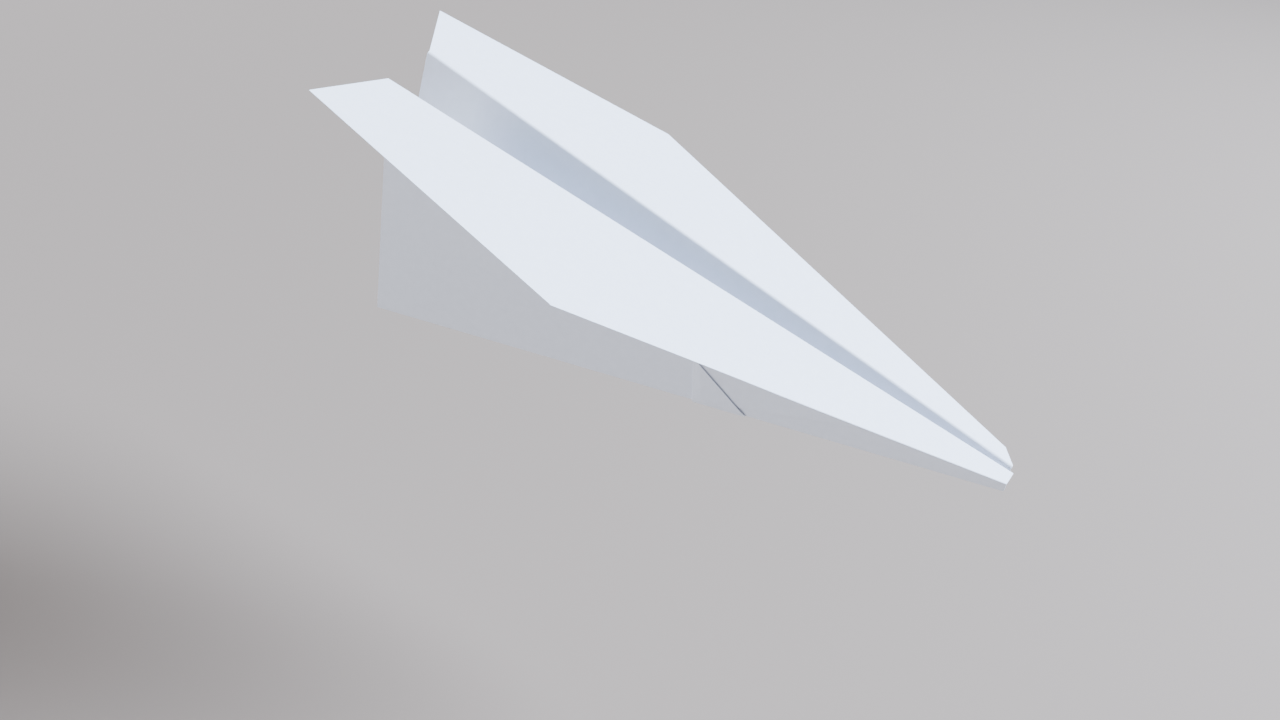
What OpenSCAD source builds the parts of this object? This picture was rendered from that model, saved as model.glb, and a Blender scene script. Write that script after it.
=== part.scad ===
// Paper airplane with a locked nose: one sheet of paper, folded. Every flat panel between two
// creases and every rounded crease is its own solid, laid layer by layer as the paper lies.
// Row frame: nose towards -Y, +Z up, X across. The keel fold runs along Y, just above Z = 0.

/* [Sheet] */
// Width of the flat sheet
sheet_width = 210; // [170:1:260]
// Length of the flat sheet
sheet_length = 292; // [240:1:360]
// Thickness of the paper
paper = 0.1; // [0.08:0.01:0.15]

/* [Folds] */
// How far the nose fold lies behind the base of the first triangle
flip_drop = 2; // [1:0.1:4]
// Half the width of the flat plane at the nose fold
nose_half_width = 14.4; // [11:0.1:18]
// Height of the wing crease above the keel at the tail, measured on the side
crease_tail = 74; // [55:1:90]
// Height of the wing crease above the keel at the nose, measured on the side
crease_nose = 6.5; // [5:0.1:9]

/* [Shape at rest] */
// Lean of each fuselage side away from upright, in degrees
side_lean = 11; // [4:0.5:30]
// Angle by which each wing is folded out of its side, in degrees
wing_fold = 80; // [50:1:110]

/* [Bends] */
// Inside radius of the keel fold
keel_bend = 0.2; // [0.1:0.05:0.5]
// Radius left open inside the wing crease, under all its layers
wing_bend = 0.3; // [0.2:0.05:0.8]

/* [Hidden] */
$fn = 48;
white = [0.93, 0.94, 0.97];

// Layers counted outwards from the smooth inner face of the fuselage side
SHEET = 0;
TUCK = 1;
APEX = 2;
FLAP_APEX = 3;
FLAP_TUCK = 4;
FLAP = 5;
LOCK_INNER = 6;
LOCK_OUTER = 7;
layers = FLAP + 1;

// ---- Plane geometry on one half of the sheet: [distance from the keel, distance from the tail]

half_width = sheet_width / 2;
keel_length = sheet_length - half_width - flip_drop;
apex_v = 2 * keel_length - sheet_length;
flap_reach = sqrt(half_width * (half_width - 2 * nose_half_width));
meet_v = keel_length - flap_reach;
kink_v = (keel_length + meet_v) / 2 - half_width * half_width / (2 * flap_reach);

tail_keel = [0, 0];
nose_keel = [0, keel_length];
nose_out = [nose_half_width, keel_length];
kink = [half_width, kink_v];
meet = [0, meet_v];
crease_t = [crease_tail, 0];
crease_n = [crease_nose, keel_length];

function unit(p) = p / norm(p);
function right_normal(d) = [d.y, -d.x];
function left_of(p, a, b) = cross(b - a, p - a);

// The part of a convex outline that lies left of the line from a to b
function keep_left(outline, a, b) = [
    for (i = [0:len(outline) - 1])
        let (p = outline[i], q = outline[(i + 1) % len(outline)],
             sp = left_of(p, a, b), sq = left_of(q, a, b))
        each concat(sp >= 0 ? [p] : [], sp * sq < 0 ? [p + (q - p) * sp / (sp - sq)] : [])
];

// Where the line from a to b crosses the line from c to d
function crossing(a, b, c, d) = a + (b - a) * cross(c - a, d - c) / cross(b - a, d - c);

// An outline turned over about the line from a to b
function turned_over(outline, a, b) =
    let (n = right_normal(unit(b - a)))
    [for (p = outline) p - 2 * ((p - a) * n) * n];

function inside_edge(outline) = keep_left(outline, kink, nose_out);
function past_edge(outline) = turned_over(keep_left(outline, nose_out, kink), nose_out, kink);
function side_part(outline) = keep_left(outline, crease_t, crease_n);
function wing_part(outline) = keep_left(outline, crease_n, crease_t);
function ahead_of_lock(outline) = keep_left(outline, meet, kink);

sheet_half = [tail_keel, [half_width, 0], [half_width, keel_length], nose_keel];
apex_half = [[0, apex_v], [half_width, apex_v + half_width], [half_width, keel_length], nose_keel];
tuck_half = [[0, apex_v], [half_width, apex_v + half_width], [0, apex_v + half_width]];

sheet_outline = inside_edge(sheet_half);
flap_outline = past_edge(sheet_half);
apex_outline = ahead_of_lock(inside_edge(apex_half));
tuck_outline = ahead_of_lock(inside_edge(tuck_half));
flap_apex_outline = past_edge(apex_half);
flap_tuck_outline = past_edge(tuck_half);

// The lock: its crease runs along the flap's raw edge, out to the folded edge of the apex
apex_corner = [half_width, apex_v + half_width];
lock_corner = crossing(meet, kink, [0, apex_v], apex_corner);
lock_size = norm(lock_corner - meet);
lock_tip = [0, meet_v + lock_size];
lock_outline = [meet, lock_tip, lock_corner];

// Where the inner layers end on the leading edge
apex_end = crossing(kink, nose_out, [0, apex_v], apex_corner);
tuck_start = crossing(kink, nose_out, [0, apex_corner.y], apex_corner);

// Where the flap's folded front edge and the nose fold cross the wing crease
flap_edge_at_crease = crossing(nose_out, meet, crease_t, crease_n);
// Room left at each end of a small fold so that it clears its neighbours
fold_clearance = 3 * paper;

// ---- Solid geometry: a side's own frame is [from the keel, from the tail, outwards]

crease_dir = unit(crease_n - crease_t);
crease_out = right_normal(crease_dir);
crease_length = norm(crease_n - crease_t);
wing_axis_w = wing_bend + layers * paper;
wing_axis = [crease_t.x, crease_t.y, wing_axis_w];

keel_z = keel_bend + (LOCK_INNER + 1) * paper;
nose_fold_reach = 1.5 * paper;

// Distance from the tail of a point on the folded wing, at depth w in the layers
function folded_v(p, w) =
    let (from_tail = p - crease_t,
         out = from_tail * crease_out,
         along = from_tail * crease_dir,
         turned = out * cos(wing_fold) + (wing_axis_w - w) * sin(wing_fold))
    turned * crease_out.y + along * crease_dir.y;

rear_v = min(0, folded_v([half_width, 0], paper));
front_v = keel_length + nose_fold_reach;
middle_v = (rear_v + front_v) / 2;

// Puts a side's own frame in its place on the left of the plane
module left_side_frame() {
    multmatrix([
        [sin(side_lean), 0, cos(side_lean), keel_bend * cos(side_lean)],
        [0, -1, 0, middle_v],
        [cos(side_lean), 0, -sin(side_lean), keel_z - keel_bend * sin(side_lean)],
        [0, 0, 0, 1]
    ]) children();
}

module on_side(hand) {
    color(white)
        if (hand == "left") left_side_frame() children();
        else mirror([1, 0, 0]) left_side_frame() children();
}

module on_wing(hand) {
    on_side(hand)
        translate(wing_axis)
        rotate(a = wing_fold, v = [-crease_dir.x, -crease_dir.y, 0])
        translate(-wing_axis)
        children();
}

// A flat panel of one layer of paper
module panel(layer, outline) {
    translate([0, 0, layer * paper]) linear_extrude(paper) polygon(outline);
}

// A bent strip of paper, turning about Z
module bent_strip(inner_radius, from_angle, turn, length) {
    rotate([0, 0, from_angle])
        rotate_extrude(angle = turn)
        translate([inner_radius, 0])
        square([paper, length]);
}

// A sheet folded back on itself along the line from p to q, bulging to the right of that line
module folded_edge(p, q, middle_layer, layers_inside) {
    dir = unit(q - p);
    out = right_normal(dir);
    multmatrix([
        [out.x, 0, dir.x, p.x],
        [out.y, 0, dir.y, p.y],
        [0, -1, 0, middle_layer * paper],
        [0, 0, 0, 1]
    ]) bent_strip(layers_inside * paper / 2, -90, 180, norm(q - p));
}

// One layer's bend at the wing crease, between two points on the crease
module crease_bend(layer, p, q) {
    start = (p - crease_t) * crease_dir;
    end = (q - crease_t) * crease_dir;
    multmatrix([
        [0, crease_out.x, -crease_dir.x, wing_axis.x],
        [0, crease_out.y, -crease_dir.y, wing_axis.y],
        [-1, 0, 0, wing_axis.z],
        [0, 0, 0, 1]
    ])
        translate([0, 0, -end])
        bent_strip(wing_axis_w - (layer + 1) * paper, 0, wing_fold, end - start);
}

// The whole wing crease of a layer with this outline
module crease_bend_of(layer, outline) {
    on_crease = [for (p = outline) if (abs(left_of(p, crease_t, crease_n)) < 0.001) p];
    along = [for (p = on_crease) (p - crease_t) * crease_dir];
    crease_bend(layer, crease_t + min(along) * crease_dir, crease_t + max(along) * crease_dir);
}

// The keel bend of one layer, between two distances from the tail
module keel_bend_strip(layer, from_v, to_v) {
    color(white)
        translate([0, middle_v - from_v, keel_z])
        rotate([90, 0, 0])
        bent_strip(keel_bend + layer * paper, side_lean - 180, 180 - 2 * side_lean, to_v - from_v);
}

module keel_fold_sheet() { keel_bend_strip(SHEET, 0, keel_length); }
module keel_fold_apex() { keel_bend_strip(APEX, meet_v, keel_length); }
module keel_fold_lock() { keel_bend_strip(LOCK_INNER, meet_v, lock_tip.y); }

module side_sheet(hand) { on_side(hand) panel(SHEET, side_part(sheet_outline)); }
module side_tuck(hand) { on_side(hand) panel(TUCK, side_part(tuck_outline)); }
module side_apex(hand) { on_side(hand) panel(APEX, side_part(apex_outline)); }
module side_flap_apex(hand) { on_side(hand) panel(FLAP_APEX, side_part(flap_apex_outline)); }
module side_flap_tuck(hand) { on_side(hand) panel(FLAP_TUCK, side_part(flap_tuck_outline)); }
module side_flap(hand) { on_side(hand) panel(FLAP, side_part(flap_outline)); }

module wing_sheet(hand) { on_wing(hand) panel(SHEET, wing_part(sheet_outline)); }
module wing_tuck(hand) { on_wing(hand) panel(TUCK, wing_part(tuck_outline)); }
module wing_apex(hand) { on_wing(hand) panel(APEX, wing_part(apex_outline)); }
module wing_flap_apex(hand) { on_wing(hand) panel(FLAP_APEX, wing_part(flap_apex_outline)); }
module wing_flap_tuck(hand) { on_wing(hand) panel(FLAP_TUCK, wing_part(flap_tuck_outline)); }
module wing_flap(hand) { on_wing(hand) panel(FLAP, wing_part(flap_outline)); }

module lock_inner(hand) { on_side(hand) panel(LOCK_INNER, lock_outline); }
module lock_outer(hand) { on_side(hand) panel(LOCK_OUTER, lock_outline); }

// The lock's crease wraps the apex and its tuck round the flaps' raw edges
module lock_fold(hand) {
    middle = (APEX + LOCK_INNER + 1) / 2;
    on_side(hand) {
        folded_edge(meet, lock_corner, middle, LOCK_INNER - APEX - 1);
        folded_edge(meet, lock_corner, middle, LOCK_OUTER - TUCK - 1);
    }
}

// The nose fold turns the sheet back into the apex, with the tuck between
module nose_fold(from_u, to_u) {
    folded_edge([to_u, keel_length], [from_u, keel_length], (SHEET + APEX + 1) / 2, APEX - SHEET - 1);
}

module side_nose_fold(hand) { on_side(hand) nose_fold(0, crease_nose); }
module wing_nose_fold(hand) { on_wing(hand) nose_fold(crease_nose, nose_half_width); }

// The same fold, turned in with the flap, runs from the nose back to where the flaps meet
module flap_fold(from, to) {
    folded_edge(from, to, (FLAP_APEX + FLAP + 1) / 2, FLAP - FLAP_APEX - 1);
}

module side_flap_fold(hand) {
    back = unit(meet - nose_out);
    on_side(hand) flap_fold(flap_edge_at_crease, meet - fold_clearance * back);
}

module wing_flap_fold(hand) {
    back = unit(meet - nose_out);
    on_wing(hand) flap_fold(nose_out + fold_clearance * back, flap_edge_at_crease);
}

// Three layers turn over together at the leading edge, one inside the other
module leading_edge_fold(hand) {
    middle = layers / 2;
    on_wing(hand) {
        folded_edge(kink, nose_out, middle, FLAP - SHEET - 1);
        folded_edge(apex_end, tuck_start, middle, FLAP_TUCK - TUCK - 1);
        folded_edge(apex_end, nose_out, middle, FLAP_APEX - APEX - 1);
    }
}

module wing_crease(hand) { on_side(hand) crease_bend_of(SHEET, side_part(sheet_outline)); }

module wing_crease_layers(hand) {
    on_side(hand) {
        crease_bend_of(TUCK, side_part(tuck_outline));
        crease_bend_of(APEX, side_part(apex_outline));
        crease_bend_of(FLAP_APEX, side_part(flap_apex_outline));
        crease_bend_of(FLAP_TUCK, side_part(flap_tuck_outline));
        crease_bend_of(FLAP, side_part(flap_outline));
    }
}

keel_fold_sheet();
keel_fold_apex();
keel_fold_lock();

side_sheet("left");  // left_side_sheet
side_tuck("left");  // left_side_tuck
side_apex("left");  // left_side_apex
side_flap_apex("left");  // left_side_flap_apex
side_flap_tuck("left");  // left_side_flap_tuck
side_flap("left");  // left_side_flap
side_nose_fold("left");  // left_side_nose_fold
side_flap_fold("left");  // left_side_flap_fold
lock_inner("left");  // left_lock_inner
lock_outer("left");  // left_lock_outer
lock_fold("left");  // left_lock_fold
wing_sheet("left");  // left_wing_sheet
wing_tuck("left");  // left_wing_tuck
wing_apex("left");  // left_wing_apex
wing_flap_apex("left");  // left_wing_flap_apex
wing_flap_tuck("left");  // left_wing_flap_tuck
wing_flap("left");  // left_wing_flap
wing_nose_fold("left");  // left_wing_nose_fold
wing_flap_fold("left");  // left_wing_flap_fold
leading_edge_fold("left");  // left_leading_edge_fold
wing_crease("left");  // left_wing_crease
wing_crease_layers("left");  // left_wing_crease_layers

side_sheet("right");  // right_side_sheet
side_tuck("right");  // right_side_tuck
side_apex("right");  // right_side_apex
side_flap_apex("right");  // right_side_flap_apex
side_flap_tuck("right");  // right_side_flap_tuck
side_flap("right");  // right_side_flap
side_nose_fold("right");  // right_side_nose_fold
side_flap_fold("right");  // right_side_flap_fold
lock_inner("right");  // right_lock_inner
lock_outer("right");  // right_lock_outer
lock_fold("right");  // right_lock_fold
wing_sheet("right");  // right_wing_sheet
wing_tuck("right");  // right_wing_tuck
wing_apex("right");  // right_wing_apex
wing_flap_apex("right");  // right_wing_flap_apex
wing_flap_tuck("right");  // right_wing_flap_tuck
wing_flap("right");  // right_wing_flap
wing_nose_fold("right");  // right_wing_nose_fold
wing_flap_fold("right");  // right_wing_flap_fold
leading_edge_fold("right");  // right_leading_edge_fold
wing_crease("right");  // right_wing_crease
wing_crease_layers("right");  // right_wing_crease_layers
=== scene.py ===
import math

import bmesh
import bpy
import numpy as np
from mathutils import Matrix, Vector


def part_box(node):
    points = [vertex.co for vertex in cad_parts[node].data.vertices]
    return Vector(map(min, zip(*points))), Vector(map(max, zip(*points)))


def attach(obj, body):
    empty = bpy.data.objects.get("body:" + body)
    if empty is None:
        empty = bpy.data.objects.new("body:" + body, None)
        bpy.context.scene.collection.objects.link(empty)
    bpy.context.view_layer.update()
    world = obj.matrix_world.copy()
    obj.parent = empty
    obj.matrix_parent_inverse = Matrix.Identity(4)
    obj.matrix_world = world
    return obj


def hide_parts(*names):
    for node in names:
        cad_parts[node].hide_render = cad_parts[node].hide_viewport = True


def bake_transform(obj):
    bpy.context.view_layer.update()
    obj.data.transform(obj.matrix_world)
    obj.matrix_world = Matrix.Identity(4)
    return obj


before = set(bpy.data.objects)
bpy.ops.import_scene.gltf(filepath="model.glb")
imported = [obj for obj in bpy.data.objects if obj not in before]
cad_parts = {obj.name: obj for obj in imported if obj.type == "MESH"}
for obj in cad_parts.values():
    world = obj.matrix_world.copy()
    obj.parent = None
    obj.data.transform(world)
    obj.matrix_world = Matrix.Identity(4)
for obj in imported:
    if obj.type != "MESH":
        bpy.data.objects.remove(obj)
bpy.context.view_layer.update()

# ---- The folded sheet's driving dimensions, in metres, as the CAD model has them

SHEET_WIDTH = 0.210
SHEET_LENGTH = 0.292
PAPER = 0.0001
FLIP_DROP = 0.002
NOSE_HALF_WIDTH = 0.0144
CREASE_TAIL = 0.074
CREASE_NOSE = 0.0065
SIDE_LEAN = math.radians(11)
WING_FOLD = math.radians(80)
KEEL_BEND = 0.0002
WING_BEND = 0.0003

# Layers counted outwards from the smooth inner face of a fuselage side
SHEET, TUCK, APEX, FLAP_APEX, FLAP_TUCK, FLAP, LOCK_INNER, LOCK_OUTER = range(8)
FOLDED_LAYERS = 6

# ---- What real paper does and the flat CAD panels leave out

# How far the lock's front edge stands off the flap under it, and how soon it does so
LOCK_LIFT = 0.00045
LOCK_LIFT_RUN = 0.002
# How far the flap's folded front edge stands off the apex, and how soon it does so
FLAP_SPRING = 0.00025
FLAP_SPRING_RUN = 0.006
# Behind the folded triangle inside it, the flap sinks on to the sheet over this distance
FLAP_SINK_RUN = 0.030
# Air that is left between two layers which lie on each other
AIR = 0.4 * PAPER
# How much shorter the flap's folded edge is at each end than the layers that it joins
FOLD_END_GAP = 3 * PAPER

# ---- Mesh fineness

GRID = 0.004
FOLD_STEPS = 16
CREASE_STEPS = 16
LOCK_STEPS = 12
SAME_PLACE = 1e-9
WELD = 1e-8
SHARP_ANGLE = math.radians(40)

# ---- Plane geometry on one half of the sheet: (distance from the keel, distance from the tail)

half_width = SHEET_WIDTH / 2
keel_length = SHEET_LENGTH - half_width - FLIP_DROP
apex_v = 2 * keel_length - SHEET_LENGTH
flap_reach = math.sqrt(half_width * (half_width - 2 * NOSE_HALF_WIDTH))
meet_v = keel_length - flap_reach
kink_v = (keel_length + meet_v) / 2 - half_width ** 2 / (2 * flap_reach)


def point(u, v):
    return np.array([u, v], float)


def unit(p):
    return p / np.linalg.norm(p)


def cross(a, b):
    return float(a[0] * b[1] - a[1] * b[0])


def right_normal(d):
    return point(d[1], -d[0])


def left_of(p, a, b):
    return cross(b - a, p - a)


def keep_left(outline, a, b):
    """The part of a convex outline that lies left of the line from a to b."""
    kept = []
    for p, q in zip(outline, outline[1:] + outline[:1]):
        sp, sq = left_of(p, a, b), left_of(q, a, b)
        if sp >= 0:
            kept.append(p)
        if sp * sq < 0:
            kept.append(p + (q - p) * sp / (sp - sq))
    return kept


def crossing(a, b, c, d):
    """Where the line from a to b crosses the line from c to d."""
    return a + (b - a) * cross(c - a, d - c) / cross(b - a, d - c)


def turned_over(outline, a, b):
    """An outline turned over about the line from a to b."""
    n = right_normal(unit(b - a))
    return [p - 2 * np.dot(p - a, n) * n for p in outline]


nose_keel = point(0, keel_length)
nose_out = point(NOSE_HALF_WIDTH, keel_length)
kink = point(half_width, kink_v)
meet = point(0, meet_v)
crease_t = point(CREASE_TAIL, 0)
crease_n = point(CREASE_NOSE, keel_length)
apex_tip = point(0, apex_v)
apex_corner = point(half_width, apex_v + half_width)

sheet_half = [point(0, 0), point(half_width, 0), point(half_width, keel_length), nose_keel]
apex_half = [apex_tip, apex_corner, point(half_width, keel_length), nose_keel]
tuck_half = [apex_tip, apex_corner, point(0, apex_corner[1])]


def inside_edge(outline):
    return keep_left(outline, kink, nose_out)


def past_edge(outline):
    return turned_over(keep_left(outline, nose_out, kink), nose_out, kink)


def ahead_of_lock(outline):
    return keep_left(outline, meet, kink)


OUTLINES = {
    SHEET: inside_edge(sheet_half),
    TUCK: ahead_of_lock(inside_edge(tuck_half)),
    APEX: ahead_of_lock(inside_edge(apex_half)),
    FLAP_APEX: past_edge(apex_half),
    FLAP_TUCK: past_edge(tuck_half),
    FLAP: past_edge(sheet_half),
}

lock_corner = crossing(meet, kink, apex_tip, apex_corner)
lock_tip = point(0, meet_v + np.linalg.norm(lock_corner - meet))
apex_end = crossing(kink, nose_out, apex_tip, apex_corner)
tuck_start = crossing(kink, nose_out, point(0, apex_corner[1]), apex_corner)


def smooth(t):
    t = min(1.0, max(0.0, t))
    return t * t * (3 - 2 * t)


def flat_depth(layer):
    """The depth of a layer's inner face where it lies as flat as the CAD panel."""
    return lambda p: layer * PAPER


def flap_spring(p):
    """The flap's folded front edge springs off the apex, between the lock and the wing crease."""
    from_edge = abs(left_of(p, nose_out, meet)) / np.linalg.norm(meet - nose_out)
    ahead_of_tip = p[1] - lock_tip[1]
    below_crease = -to_crease(p)[0]
    held = smooth(ahead_of_tip / FLAP_SPRING_RUN) * smooth(below_crease / FLAP_SPRING_RUN)
    return FLAP_SPRING * held * (1 - smooth(from_edge / FLAP_SPRING_RUN))


def inner_flap_depth(layer):
    """The depth of a layer inside the flap, which springs with it."""
    return lambda p: layer * PAPER + flap_spring(p)


def flap_depth(p):
    """The outer flap sinks on to the sheet behind the folded triangle that it covers."""
    behind = -left_of(p, apex_tip, apex_corner) / np.linalg.norm(apex_corner - apex_tip)
    sink = (FLAP - SHEET - 1) * PAPER - AIR
    return FLAP * PAPER - sink * smooth(behind / FLAP_SINK_RUN) + flap_spring(p)


def lock_depth(layer):
    """The lock's front edge springs open, between its two held corners."""
    base = np.linalg.norm(lock_corner - meet)

    def depth(p):
        from_base = left_of(p, meet, lock_corner) / base
        lift = smooth(p[0] / LOCK_LIFT_RUN) * smooth(from_base / LOCK_LIFT_RUN)
        return layer * PAPER + LOCK_LIFT * lift

    return depth


DEPTHS = {layer: flat_depth(layer) for layer in (SHEET, TUCK, APEX)}
DEPTHS[FLAP_APEX] = inner_flap_depth(FLAP_APEX)
DEPTHS[FLAP_TUCK] = inner_flap_depth(FLAP_TUCK)
DEPTHS[FLAP] = flap_depth
DEPTHS[LOCK_INNER] = lock_depth(LOCK_INNER)
DEPTHS[LOCK_OUTER] = lock_depth(LOCK_OUTER)

# ---- Solid geometry

HAND = {"left": 1, "right": -1}
crease_dir = unit(crease_n - crease_t)
crease_out = right_normal(crease_dir)
wing_axis_w = WING_BEND + FOLDED_LAYERS * PAPER
keel_z = KEEL_BEND + (LOCK_INNER + 1) * PAPER
middle_v = keel_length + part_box("left_side_sheet")[0][1]


def in_row(hand, u, v, w):
    """The row frame's point for one at u from the keel, v from the tail and w outwards."""
    x = u * math.sin(SIDE_LEAN) + (w + KEEL_BEND) * math.cos(SIDE_LEAN)
    z = keel_z + u * math.cos(SIDE_LEAN) - (w + KEEL_BEND) * math.sin(SIDE_LEAN)
    return Vector((HAND[hand] * x, middle_v - v, z))


def to_crease(p):
    """A plane point as its distance out from the wing crease and its distance along it."""
    return float(np.dot(p - crease_t, crease_out)), float(np.dot(p - crease_t, crease_dir))


def from_crease(out, along):
    return crease_t + out * crease_out + along * crease_dir


def folded(hand, out, turn, along, w):
    """The row frame's point at depth w, turned about the wing crease."""
    below = w - wing_axis_w
    s = out * math.cos(turn) - below * math.sin(turn)
    up = out * math.sin(turn) + below * math.cos(turn)
    return in_row(hand, *from_crease(s, along), wing_axis_w + up)


def span_at(outline, out):
    """The lowest and highest place along the crease of a convex outline at this distance out."""
    corners = [to_crease(p) for p in outline]
    found = []
    for (o1, a1), (o2, a2) in zip(corners, corners[1:] + corners[:1]):
        if abs(o1 - out) < SAME_PLACE:
            found.append(a1)
        if (o1 - out) * (o2 - out) < 0:
            found.append(a1 + (a2 - a1) * (out - o1) / (o2 - o1))
    return min(found), max(found)


def evenly(low, high, stops):
    """Distances from low to high, about GRID apart, that include each stop."""
    marks = sorted({round(x, 10) for x in (low, high, *stops) if low <= x <= high})
    rows = marks[:1]
    for a, b in zip(marks, marks[1:]):
        steps = max(1, math.ceil((b - a) / GRID))
        rows += [a + (b - a) * (i + 1) / steps for i in range(steps)]
    return rows


def crease_rows(stops):
    """(distance out, turn) of each mesh row, round the wing crease where the piece crosses it."""
    low, high = min(stops), max(stops)
    if high <= SAME_PLACE:
        return [(out, 0.0) for out in evenly(low, high, stops)]
    if low >= -SAME_PLACE:
        return [(out, WING_FOLD) for out in evenly(low, high, stops)]
    side = [(out, 0.0) for out in evenly(low, 0.0, stops)]
    bend = [(0.0, WING_FOLD * i / CREASE_STEPS) for i in range(1, CREASE_STEPS)]
    wing = [(out, WING_FOLD) for out in evenly(0.0, high, stops)]
    return side + bend + wing


# ---- Meshes


def grid_faces(rows, cols, first):
    """The quads of a closed sheet: two grids of points, one after the other from first, and a rim."""
    other = first + rows * cols
    faces = []
    for r in range(rows - 1):
        for c in range(first + r * cols, first + r * cols + cols - 1):
            faces.append((c, c + 1, c + cols + 1, c + cols))
            d = c + rows * cols
            faces.append((d, d + cols, d + cols + 1, d + 1))
    rim = list(range(cols))
    rim += [r * cols + cols - 1 for r in range(1, rows)]
    rim += [(rows - 1) * cols + c for c in range(cols - 2, -1, -1)]
    rim += [r * cols for r in range(rows - 2, 0, -1)]
    for a, b in zip(rim, rim[1:] + rim[:1]):
        faces.append((first + a, other + a, other + b, first + b))
    return faces


def paper_piece(name, sheets):
    """One mesh of closed sheets of paper, each given as the two grids of points of its faces."""
    verts, faces = [], []
    for inner, outer in sheets:
        faces += grid_faces(len(inner), len(inner[0]), len(verts))
        verts += [p for row in inner + outer for p in row]
    mesh = bpy.data.meshes.new(name)
    mesh.from_pydata(verts, [], faces)
    bm = bmesh.new()
    bm.from_mesh(mesh)
    bmesh.ops.remove_doubles(bm, verts=bm.verts, dist=WELD)
    bmesh.ops.dissolve_degenerate(bm, edges=bm.edges, dist=WELD)
    bmesh.ops.recalc_face_normals(bm, faces=bm.faces)
    bm.to_mesh(mesh)
    bm.free()
    mesh.shade_smooth()
    mesh.set_sharp_from_angle(angle=SHARP_ANGLE)
    piece = bpy.data.objects.new(name, mesh)
    bpy.context.scene.collection.objects.link(piece)
    return piece


def panel_sheet(hand, layer):
    """One layer of paper, from the fuselage side across the wing crease to the wing."""
    outline = OUTLINES[layer]
    rows = crease_rows([to_crease(p)[0] for p in outline])
    spans = [span_at(outline, out) for out, turn in rows]
    cols = max(2, math.ceil(max(high - low for low, high in spans) / GRID)) + 1
    sheet = []
    for above in (0, PAPER):
        grid = []
        for (out, turn), (low, high) in zip(rows, spans):
            places = [low + (high - low) * c / (cols - 1) for c in range(cols)]
            grid.append([folded(hand, out, turn, a, DEPTHS[layer](from_crease(out, a)) + above)
                         for a in places])
        sheet.append(grid)
    return sheet


def folded_edge_sheet(hand, p, q, inner_layer, outer_layer):
    """The round edge where a layer turns back as another, bulging right of the line from p to q."""
    direction = unit(q - p)
    out_dir = right_normal(direction)
    rise, run = float(np.dot(direction, crease_out)), float(np.dot(direction, crease_dir))
    rows = crease_rows([to_crease(p)[0], to_crease(q)[0]])
    if to_crease(p)[0] > to_crease(q)[0]:
        rows = rows[::-1]
    sheet = []
    for above in (0, PAPER):
        grid = []
        for out, turn in rows:
            on_edge = p + direction * (out - to_crease(p)[0]) / rise
            start = DEPTHS[inner_layer](on_edge) + PAPER
            end = DEPTHS[outer_layer](on_edge)
            middle, radius = (start + end) / 2, (end - start) / 2 + above
            line = []
            for i in range(FOLD_STEPS + 1):
                angle = math.pi * (i / FOLD_STEPS - 0.5)
                o, a = to_crease(on_edge + radius * math.cos(angle) * out_dir)
                along = a + (out - o) / rise * run if 0 < turn < WING_FOLD else a
                line.append(folded(hand, out if 0 < turn < WING_FOLD else o, turn, along,
                                   middle + radius * math.sin(angle)))
            grid.append(line)
        sheet.append(grid)
    return sheet


def lock_sheet(hand, layer):
    """One layer of the lock's triangle, in rows from the keel to the corner on the wing side."""
    sheet = []
    for above in (0, PAPER):
        grid = []
        for r in range(LOCK_STEPS + 1):
            base = meet + (lock_corner - meet) * r / LOCK_STEPS
            edge = lock_tip + (lock_corner - lock_tip) * r / LOCK_STEPS
            places = [base + (edge - base) * c / LOCK_STEPS for c in range(LOCK_STEPS + 1)]
            grid.append([in_row(hand, *p, DEPTHS[layer](p) + above) for p in places])
        sheet.append(grid)
    return sheet


def keel_sheet(layer, from_v, to_v):
    """One layer's bend round the keel, from the left side to the right side."""
    rows = math.ceil((to_v - from_v) / GRID)
    sheet = []
    for radius in (KEEL_BEND + layer * PAPER, KEEL_BEND + (layer + 1) * PAPER):
        grid = []
        for r in range(rows + 1):
            y = middle_v - from_v - (to_v - from_v) * r / rows
            line = []
            for i in range(FOLD_STEPS + 1):
                angle = -SIDE_LEAN - (math.pi - 2 * SIDE_LEAN) * i / FOLD_STEPS
                line.append(Vector((radius * math.cos(angle), y, keel_z + radius * math.sin(angle))))
            grid.append(line)
        sheet.append(grid)
    return sheet


# ---- Paper

THIN_PULP_COLOUR = (0.70, 0.735, 0.82, 1)
THICK_PULP_COLOUR = (0.73, 0.765, 0.85, 1)
PULP_SCALE = 420
FIBRE_SCALE = 2600
SPECULAR = 0.25
ROUGHNESS_RANGE = (0.78, 0.92)
FIBRE_BUMP = 0.15
FIBRE_HEIGHT = 0.00002


def noise(nodes, links, where, scale, detail, roughness=0.5):
    texture = nodes.new("ShaderNodeTexNoise")
    texture.inputs["Scale"].default_value = scale
    texture.inputs["Detail"].default_value = detail
    texture.inputs["Roughness"].default_value = roughness
    links.new(where.outputs["Object"], texture.inputs["Vector"])
    return texture


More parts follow.
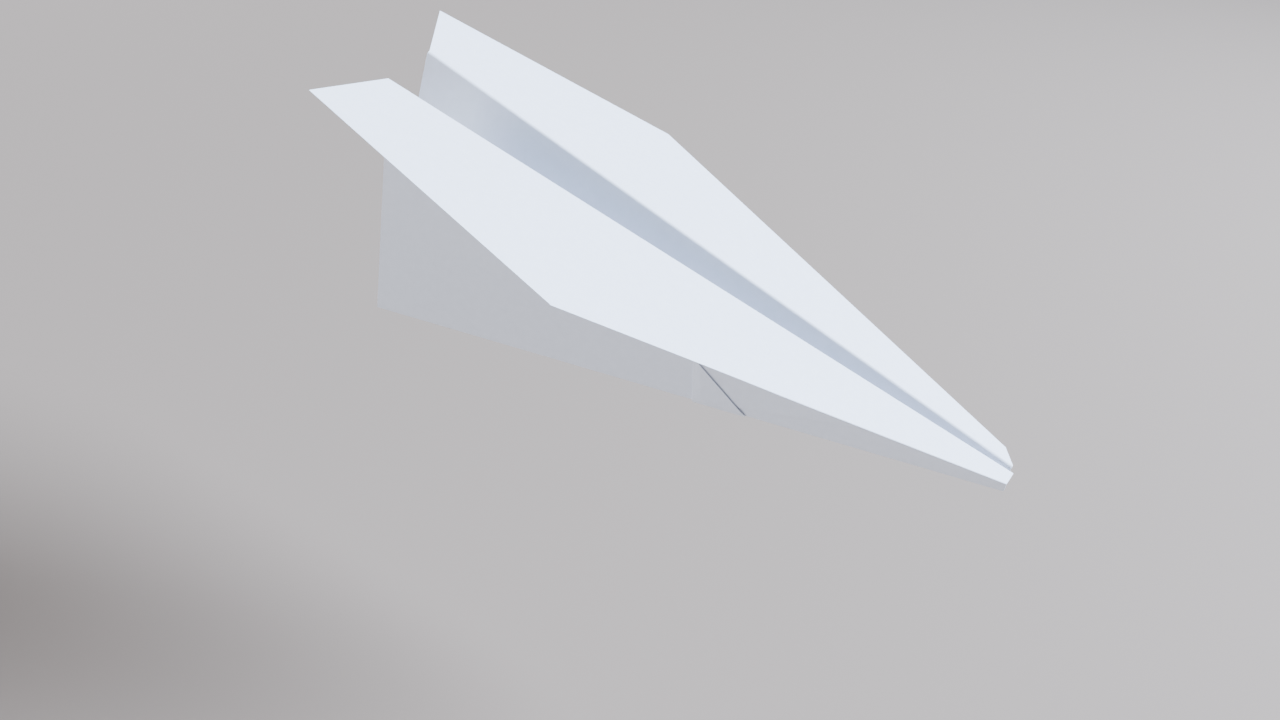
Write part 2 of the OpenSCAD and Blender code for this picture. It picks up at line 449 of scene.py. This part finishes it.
def paper_material():
    """Uncoated office paper: matt, bluish white, cloudy where the pulp lies thicker, with fine fibres."""
    mat = bpy.data.materials.new("paper")
    mat.use_nodes = True
    nodes, links = mat.node_tree.nodes, mat.node_tree.links
    shader = nodes["Principled BSDF"]
    shader.inputs["Specular IOR Level"].default_value = SPECULAR
    where = nodes.new("ShaderNodeTexCoord")

    clouds = noise(nodes, links, where, PULP_SCALE, 4)
    tone = nodes.new("ShaderNodeValToRGB")
    tone.color_ramp.elements[0].position = 0.3
    tone.color_ramp.elements[0].color = THIN_PULP_COLOUR
    tone.color_ramp.elements[1].position = 0.7
    tone.color_ramp.elements[1].color = THICK_PULP_COLOUR
    links.new(clouds.outputs["Fac"], tone.inputs["Fac"])
    links.new(tone.outputs["Color"], shader.inputs["Base Color"])

    fibres = noise(nodes, links, where, FIBRE_SCALE, 6, 0.7)
    rough = nodes.new("ShaderNodeMapRange")
    rough.inputs["To Min"].default_value = ROUGHNESS_RANGE[0]
    rough.inputs["To Max"].default_value = ROUGHNESS_RANGE[1]
    links.new(fibres.outputs["Fac"], rough.inputs["Value"])
    links.new(rough.outputs["Result"], shader.inputs["Roughness"])
    bump = nodes.new("ShaderNodeBump")
    bump.inputs["Strength"].default_value = FIBRE_BUMP
    bump.inputs["Distance"].default_value = FIBRE_HEIGHT
    links.new(fibres.outputs["Fac"], bump.inputs["Height"])
    links.new(bump.outputs["Normal"], shader.inputs["Normal"])
    return mat


paper = paper_material()


def finish_piece(piece, *nodes):
    piece.data.materials.append(paper)
    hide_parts(*nodes)


def bend_at_crease(piece):
    """Bakes the piece's placement into its mesh; its turn about the wing crease is already in its points.
    """
    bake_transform(piece)


# ---- The pieces of each side

PANELS = {"sheet": SHEET, "tuck": TUCK, "apex": APEX,
          "flap_apex": FLAP_APEX, "flap_tuck": FLAP_TUCK, "flap": FLAP}


def make_panels(hand):
    for name, layer in PANELS.items():
        piece = paper_piece(f"{hand}_{name}", [panel_sheet(hand, layer)])
        bend_at_crease(piece)
        finish_piece(piece, f"{hand}_side_{name}", f"{hand}_wing_{name}")
        if layer == SHEET:
            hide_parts(f"{hand}_wing_crease")
        if layer == FLAP:
            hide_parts(f"{hand}_wing_crease_layers")


def make_folds(hand):
    nose = paper_piece(f"{hand}_nose_fold", [folded_edge_sheet(hand, nose_out, nose_keel, SHEET, APEX)])
    bend_at_crease(nose)
    finish_piece(nose, f"{hand}_side_nose_fold", f"{hand}_wing_nose_fold")

    clear = FOLD_END_GAP * unit(meet - nose_out)
    flap = paper_piece(f"{hand}_flap_fold",
                       [folded_edge_sheet(hand, nose_out + clear, meet - clear, FLAP_APEX, FLAP)])
    bend_at_crease(flap)
    finish_piece(flap, f"{hand}_side_flap_fold", f"{hand}_wing_flap_fold")

    edge = paper_piece(f"{hand}_leading_edge_fold", [
        folded_edge_sheet(hand, kink, nose_out, SHEET, FLAP),
        folded_edge_sheet(hand, apex_end, tuck_start, TUCK, FLAP_TUCK),
        folded_edge_sheet(hand, apex_end, nose_out, APEX, FLAP_APEX)])
    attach(edge, f"{hand}_wing")
    finish_piece(edge, f"{hand}_leading_edge_fold")


def make_lock(hand):
    for name, layer in (("lock_inner", LOCK_INNER), ("lock_outer", LOCK_OUTER)):
        piece = paper_piece(f"{hand}_{name}", [lock_sheet(hand, layer)])
        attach(piece, f"{hand}_side")
        finish_piece(piece, f"{hand}_{name}")
    bend = paper_piece(f"{hand}_lock_fold", [
        folded_edge_sheet(hand, meet, lock_corner, APEX, LOCK_INNER),
        folded_edge_sheet(hand, meet, lock_corner, TUCK, LOCK_OUTER)])
    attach(bend, f"{hand}_side")
    finish_piece(bend, f"{hand}_lock_fold")


def make_keel():
    for name, layer, from_v, to_v in (("sheet", SHEET, 0, keel_length), ("apex", APEX, meet_v, keel_length),
                                      ("lock", LOCK_INNER, meet_v, lock_tip[1])):
        piece = paper_piece(f"keel_fold_{name}", [keel_sheet(layer, from_v, to_v)])
        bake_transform(piece)
        finish_piece(piece, f"keel_fold_{name}")


for side in HAND:
    make_panels(side)
    make_folds(side)
    make_lock(side)
make_keel()

# ---- Floor, light and camera

FLOOR_Z = -0.12
FLOOR_RADIUS = 2.5
FLOOR_SIDES = 128
FLOOR_ROUGHNESS = 0.9
FLOOR_COLOUR = (0.215, 0.175, 0.148, 1)
KEY_PLACE = (0.6, -2.25, 1.7)
KEY_SIZE = 1.6
KEY_POWER = 640
KEY_COLOUR = (0.70, 0.82, 1)
FILL_PLACE = (-1.2, 1.2, 0.35)
FAR_FILL_PLACE = (1.2, 1.2, 0.35)
FILL_SIZE = 0.8
FILL_POWER = 27
FAR_FILL_POWER = 16
FILL_COLOUR = (0.93, 0.95, 1)
WORLD_COLOUR = (0.92, 0.95, 1, 1)
WORLD_STRENGTH = 0.24
CAMERA_PLACE = (-0.3410, -0.0285, 0.1915)
CAMERA_AHEAD = (0.8762, 0.0999, -0.4714)
CAMERA_UP = (0.4302, 0.2785, 0.8587)
SENSOR_WIDTH = 36
LENS = 38.8
CLIP_START = 0.01


def stage_floor():
    bpy.ops.mesh.primitive_circle_add(vertices=FLOOR_SIDES, radius=FLOOR_RADIUS, fill_type="NGON",
                                      location=(0, 0, FLOOR_Z))
    floor = bpy.context.object
    floor.name = "floor"
    mat = bpy.data.materials.new("floor")
    mat.use_nodes = True
    shader = mat.node_tree.nodes["Principled BSDF"]
    shader.inputs["Base Color"].default_value = FLOOR_COLOUR
    shader.inputs["Roughness"].default_value = FLOOR_ROUGHNESS
    floor.data.materials.append(mat)


def area_light(name, place, size, power, colour):
    data = bpy.data.lights.new(name, "AREA")
    data.shape = "DISK"
    data.size = size
    data.energy = power
    data.color = colour
    lamp = bpy.data.objects.new(name, data)
    lamp.location = place
    lamp.rotation_euler = (-Vector(place)).to_track_quat("-Z", "Y").to_euler()
    bpy.context.scene.collection.objects.link(lamp)


def world_light(colour, strength):
    world = bpy.data.worlds.new("studio")
    world.use_nodes = True
    back = world.node_tree.nodes["Background"]
    back.inputs["Color"].default_value = colour
    back.inputs["Strength"].default_value = strength
    bpy.context.scene.world = world


def photo_camera():
    """Seen from the airplane's right and above, rolled so that it dives across the view."""
    ahead = Vector(CAMERA_AHEAD).normalized()
    right = ahead.cross(Vector(CAMERA_UP)).normalized()
    up = right.cross(ahead)
    data = bpy.data.cameras.new("camera")
    data.sensor_width = SENSOR_WIDTH
    data.lens = LENS
    data.clip_start = CLIP_START
    camera = bpy.data.objects.new("camera", data)
    turn = Matrix((right, up, -ahead)).transposed().to_4x4()
    camera.matrix_world = Matrix.Translation(CAMERA_PLACE) @ turn
    bpy.context.scene.collection.objects.link(camera)
    bpy.context.scene.camera = camera


stage_floor()
area_light("key", KEY_PLACE, KEY_SIZE, KEY_POWER, KEY_COLOUR)
area_light("fill", FILL_PLACE, FILL_SIZE, FILL_POWER, FILL_COLOUR)
area_light("far_fill", FAR_FILL_PLACE, FILL_SIZE, FAR_FILL_POWER, FILL_COLOUR)
world_light(WORLD_COLOUR, WORLD_STRENGTH)
photo_camera()
